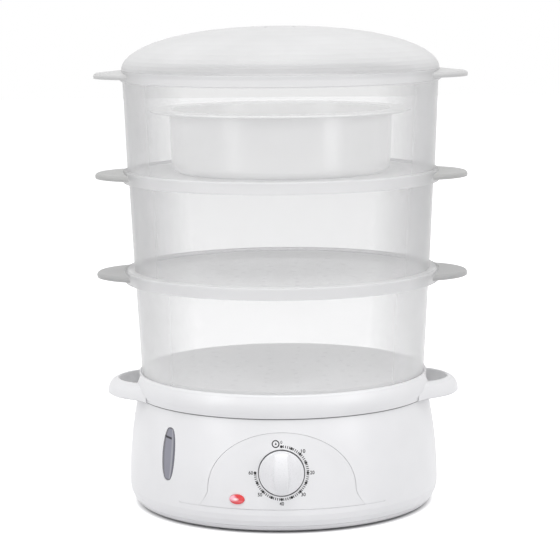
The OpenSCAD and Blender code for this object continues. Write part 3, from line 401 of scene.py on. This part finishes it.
smoked = moulded("gauge_smoke", (0.26, 0.26, 0.31), rough=0.16, relief=0.00001, cloud=0.06)
smoke = smoked.node_tree
gx, gy, gz = axes(smoke)
across = calc(smoke, "ADD", calc(smoke, "MULTIPLY", gx, math.cos(gauge_turn)),
              calc(smoke, "MULTIPLY", gy, math.sin(gauge_turn)))
upward = calc(smoke, "SUBTRACT", gz, gauge_middle)
tall = calc(smoke, "DIVIDE", upward, gauge_size[1] / 2)
half_here = calc(smoke, "POWER", calc(smoke, "SUBTRACT", half_width_at_ends, calc(smoke, "MULTIPLY", tall, tall)),
                 half_width_power)
share = calc(smoke, "DIVIDE", across, calc(smoke, "MULTIPLY", half_here, gauge_size[0] / 2))
stripe = calc(smoke, "MULTIPLY", ramp(smoke, share, *stripe_start), ramp(smoke, share, *stripe_end))
level = calc(smoke, "ABSOLUTE", calc(smoke, "ADD", calc(smoke, "SUBTRACT", upward, level_height),
                                     calc(smoke, "MULTIPLY", across, level_slope)))
tint(smoked, ramp(smoke, share, *left_rim), left_grey)
tint(smoked, stripe, stripe_grey)
tint(smoked, ramp(smoke, share, *right_rim), right_grey)
tint(smoked, ramp(smoke, calc(smoke, "ABSOLUTE", tall), *end_rim), end_grey)
tint(smoked, calc(smoke, "MULTIPLY", ramp(smoke, level, *level_half_thick), ramp(smoke, share, *level_reach)),
     level_ink)
dress(smoked, "water_gauge")
dress(moulded("gasket_rubber", (0.05, 0.05, 0.055), rough=0.7), "gauge_seal")

# ---------------------------------------------------------------------------
# Heating lamp: a red clear lens pressed into the panel, with a small neon lamp in a holder behind
# it and two thin leads. Three painted highlights on the lens make it palest at fixed places.
# ---------------------------------------------------------------------------
lamp_turn = math.radians(-15.9)
# Each painted highlight's place sideways and upwards, its half width and half height, its strength and its colour.
painted_glints = ((-0.0036, 0.0285, 0.0038, 0.0028, 0.8, (1.0, 0.62, 0.78)),
                (-0.0008, 0.0277, 0.0026, 0.0013, 0.95, (1.0, 0.88, 0.9)),
                (0.0012, 0.0262, 0.0050, 0.0010, 0.45, (0.95, 0.25, 0.3)))
glint_edge = (1.15, 0.35)

lens_red = moulded("lens_red", (0.66, 0.014, 0.022), rough=0.1, relief=0.00001, cloud=0.3)
lens_tree = lens_red.node_tree
lens = lens_tree.nodes["Principled BSDF"]
lens.inputs["Coat Weight"].default_value = 0.6
lens.inputs["Coat Roughness"].default_value = 0.05
lens.inputs["Emission Color"].default_value = (1, 0.05, 0.04, 1)
lens.inputs["Emission Strength"].default_value = 0.1
lx, ly, lz = axes(lens_tree)
sideways = calc(lens_tree, "ADD", calc(lens_tree, "MULTIPLY", lx, math.cos(lamp_turn)),
                calc(lens_tree, "MULTIPLY", ly, math.sin(lamp_turn)))
# Painted highlights laid over the lens's red.
for place_x, place_z, wide, high, most, shine in painted_glints:
    glint = off_axis(lens_tree, calc(lens_tree, "DIVIDE", calc(lens_tree, "SUBTRACT", sideways, place_x), wide),
                    calc(lens_tree, "DIVIDE", calc(lens_tree, "SUBTRACT", lz, place_z), high))
    tint(lens_red, ramp(lens_tree, glint, *glint_edge, 0, most), shine)
dress(lens_red, "pilot_lens")
lamp_glass = moulded("lamp_glass", (0.9, 0.45, 0.25), rough=0.08)
lamp_glass.node_tree.nodes["Principled BSDF"].inputs["Alpha"].default_value = 0.6
dress(lamp_glass, "neon_lamp")
inner_plastic = moulded("inner_plastic", (0.62, 0.56, 0.43), rough=0.5)
dress(inner_plastic, "lamp_holder", "thermostat", "terminal_block", "timer_case", "timer_cam")

# ---------------------------------------------------------------------------
# Water tank and steam ring: pale heat-proof polypropylene inside the base, duller than the body.
# The tank hangs by its rim from the housing, and the ring stands loose in it round the heater.
# ---------------------------------------------------------------------------
dress(moulded("tank_plastic", (0.72, 0.72, 0.735), rough=0.45), "water_tank", "steam_ring")

# ---------------------------------------------------------------------------
# Heater, fasteners and timer works: a steel tube heater with brass bushes, plated screws, brass
# gears and blades, a steel cover plate and bell, and red silicone seals.
# ---------------------------------------------------------------------------
steel = moulded("plated_steel", (0.62, 0.62, 0.64), rough=0.28, cloud=0.05, metallic=1.0)
brass = moulded("turned_brass", (0.72, 0.5, 0.2), rough=0.3, cloud=0.05, metallic=1.0)
dress(steel, "heating_element", "plate_screws", "thermostat_screws", "thermal_fuse", "timer_cover",
      "timer_bell", "timer_screws")
dress(brass, "heater_bushes", "heater_nuts", "timer_shaft", "timer_gear", "timer_pinion", "timer_contacts")
dress(moulded("silicone_red", (0.35, 0.06, 0.04), rough=0.6), "heater_seals")

# ---------------------------------------------------------------------------
# Leads, cord inlet and feet: insulated wires in brown, blue and grey, a pale grommet in the back
# wall and four dark rubber feet.
# ---------------------------------------------------------------------------
dress(moulded("wire_brown", (0.16, 0.06, 0.025), rough=0.45), "supply_lead", "heater_lead")
dress(moulded("wire_blue", (0.03, 0.09, 0.35), rough=0.45), "return_lead", "thermostat_lead")
dress(moulded("wire_grey", (0.25, 0.25, 0.26), rough=0.45), "lamp_leads")
dress(moulded("grommet", (0.8, 0.8, 0.81), rough=0.5), "cord_gland")
dress(moulded("foot_rubber", (0.04, 0.04, 0.042), rough=0.8, relief=0.00004), "rubber_feet")

# ---------------------------------------------------------------------------
# Drip tray: white moulded ABS like the body, with the steam chimney and the drip channel inside and
# a filling spout on each side. It lies loose on the base. Painted shade darkens its lower edge at the
# seam, and painted light brightens the spouts' shaded hollows.
# ---------------------------------------------------------------------------
spout_centre = 0.0987
spout_hollow = (0.0356, 0.0348)
# The spouts' hollows are painted lighter than the body, as painted light in their shaded floors.
spout_painted_light = (0.93, 0.93, 0.935)
seat_wall = 0.1165
wall_blend = 0.0003
tray_edge = (0.0896, 0.0894)

tray_white = moulded("tray_white", body_white)
tray = tray_white.node_tree
tx, ty, tz = axes(tray)
from_axis = off_axis(tray, tx, ty)
from_spout = off_axis(tray, calc(tray, "SUBTRACT", calc(tray, "ABSOLUTE", tx), spout_centre), ty)
# Painted light in the spouts' hollows.
tint(tray_white, calc(tray, "MULTIPLY", ramp(tray, from_spout, *spout_hollow),
                      ramp(tray, from_axis, seat_wall - wall_blend, seat_wall)), spout_painted_light)
# Painted shade where the tray's lower edge meets the seam.
tint(tray_white, calc(tray, "MULTIPLY", ramp(tray, tz, *tray_edge),
                      ramp(tray, from_axis, seat_wall, seat_wall + wall_blend)), seam_painted_shade)
dress(tray_white, "drip_tray")

# ---------------------------------------------------------------------------
# Baskets: three frosted polypropylene mouldings that stack on each other. Their milky walls let light
# in, clear where they are seen square on and closing up where the eye meets them at a low angle. Rims
# and handles are thicker and look denser. The floors carry painted light, and the lower tiers' handles
# painted shade.
# ---------------------------------------------------------------------------
basket_foot = 0.1045
basket_pitch = 0.08
basket_growth = 0.0044
# Each zone starts at the first value and is full at the second, over the foot or out from the axis.
rim_height, rim_reach = (0.0768, 0.0772), (0.1245, 0.1248)
floor_height, floor_reach = (0.0050, 0.0047), (0.1132, 0.1124)
handle_reach = (0.1271, 0.1273)
root_reach, root_share = (0.1, 0.1255), 0.85
milk_white = ((0.78, 0.78, 0.785), (0.62, 0.62, 0.625), (0.65, 0.65, 0.655))
# Handle greys, low to top: the handles' denser plastic, and painted shade that makes the lower tiers darker.
handle_grey_and_shade = ((0.45, 0.45, 0.45), (0.48, 0.48, 0.475), (0.6, 0.6, 0.6))
rim_white = (0.78, 0.78, 0.79)
# The floors are painted lighter than the walls, as painted light inside the stack.
floor_painted_light = (0.93, 0.93, 0.935)
milk_angles = (0.22, 0.95)
milk_cover, turned_cover = (0.17, 0.16, 0.12), 0.66
rim_cover = (0.6, 0.6, 0.7)
floor_angles, floor_cover = (0.4, 0.8), 0.6
handle_cover = 0.93


def facing(tree):
    """0 where the surface is seen square on, and 1 where it is seen edge on."""
    weight = tree.nodes.new("ShaderNodeLayerWeight")
    weight.inputs["Blend"].default_value = 0.5
    return weight.outputs["Facing"]


def frosted(name, colour, cover, angles):
    """Milky clear plastic: it covers little where it is seen square on, and more as the surface turns away."""
    finish = moulded(name, colour, rough=0.36, cloud=0.03)
    tree = finish.node_tree
    shader = tree.nodes["Principled BSDF"]
    shader.inputs["Specular IOR Level"].default_value = 0.25
    tree.links.new(ramp(tree, facing(tree), *angles, *cover), shader.inputs["Alpha"])
    return finish


def denser(finish, zone, cover):
    """Raises a frosted finish's cover to at least this where the zone is 1."""
    tree = finish.node_tree
    alpha = tree.nodes["Principled BSDF"].inputs["Alpha"]
    raised = calc(tree, "MAXIMUM", alpha.links[0].from_socket, calc(tree, "MULTIPLY", zone, cover))
    tree.links.new(raised, alpha)


def lets_light_in(finish, share=0.65):
    """Milky plastic hides more than it shades: this share of the light it catches goes on to what is inside."""
    tree = finish.node_tree
    alpha = tree.nodes["Principled BSDF"].inputs["Alpha"]
    paths = tree.nodes.new("ShaderNodeLightPath").outputs
    light = calc(tree, "MAXIMUM", paths["Is Shadow Ray"], paths["Is Diffuse Ray"])
    kept = calc(tree, "SUBTRACT", 1.0, calc(tree, "MULTIPLY", light, share))
    tree.links.new(calc(tree, "MULTIPLY", alpha.links[0].from_socket, kept), alpha)


for tier, name in enumerate(("basket_low", "basket_mid", "basket_top")):
    milk = frosted(name + "_milk", milk_white[tier], (milk_cover[tier], turned_cover), milk_angles)
    tree = milk.node_tree
    bx, by, bz = axes(tree)
    up = calc(tree, "SUBTRACT", bz, basket_foot + tier * basket_pitch)
    away = off_axis(tree, bx, by)
    floor_edge = [reach + tier * basket_growth for reach in floor_reach]
    rim = calc(tree, "MULTIPLY", ramp(tree, up, *rim_height), ramp(tree, away, *rim_reach))
    floor = calc(tree, "MULTIPLY", ramp(tree, up, *floor_height), ramp(tree, away, *floor_edge))
    tab = ramp(tree, away, *handle_reach)
    root = calc(tree, "MULTIPLY", rim, ramp(tree, calc(tree, "ABSOLUTE", bx), *root_reach, 0, root_share))
    tint(milk, rim, rim_white)
    # Painted light on the floor.
    tint(milk, floor, floor_painted_light)
    # Denser handles, with painted shade on the lower tiers.
    tint(milk, calc(tree, "MAXIMUM", tab, root), handle_grey_and_shade[tier])
    denser(milk, rim, rim_cover[tier])
    denser(milk, calc(tree, "MULTIPLY", floor, ramp(tree, facing(tree), *floor_angles)), floor_cover)
    denser(milk, tab, handle_cover)
    lets_light_in(milk)
    dress(milk, name)

# ---------------------------------------------------------------------------
# Rice bowl: a moulding of opaque white polypropylene, glossier than the rest. It stands loose on the
# top basket's floor, and its side shows through the basket's wall.
# ---------------------------------------------------------------------------
bowl_white = moulded("bowl_white", (0.95, 0.95, 0.95), rough=0.22, cloud=0.01)
bowl_white.node_tree.nodes["Principled BSDF"].inputs["Specular IOR Level"].default_value = 1
dress(bowl_white, "rice_bowl")

# ---------------------------------------------------------------------------
# Lid: one moulding of frosted polypropylene like the baskets, a little denser. It lies loose on the
# top basket and lets the light in too.
# ---------------------------------------------------------------------------
lid_milk = frosted("lid_milk", (0.67, 0.67, 0.675), cover=(0.4, 0.9), angles=(0.1, 0.5))
lets_light_in(lid_milk)
dress(lid_milk, "lid")
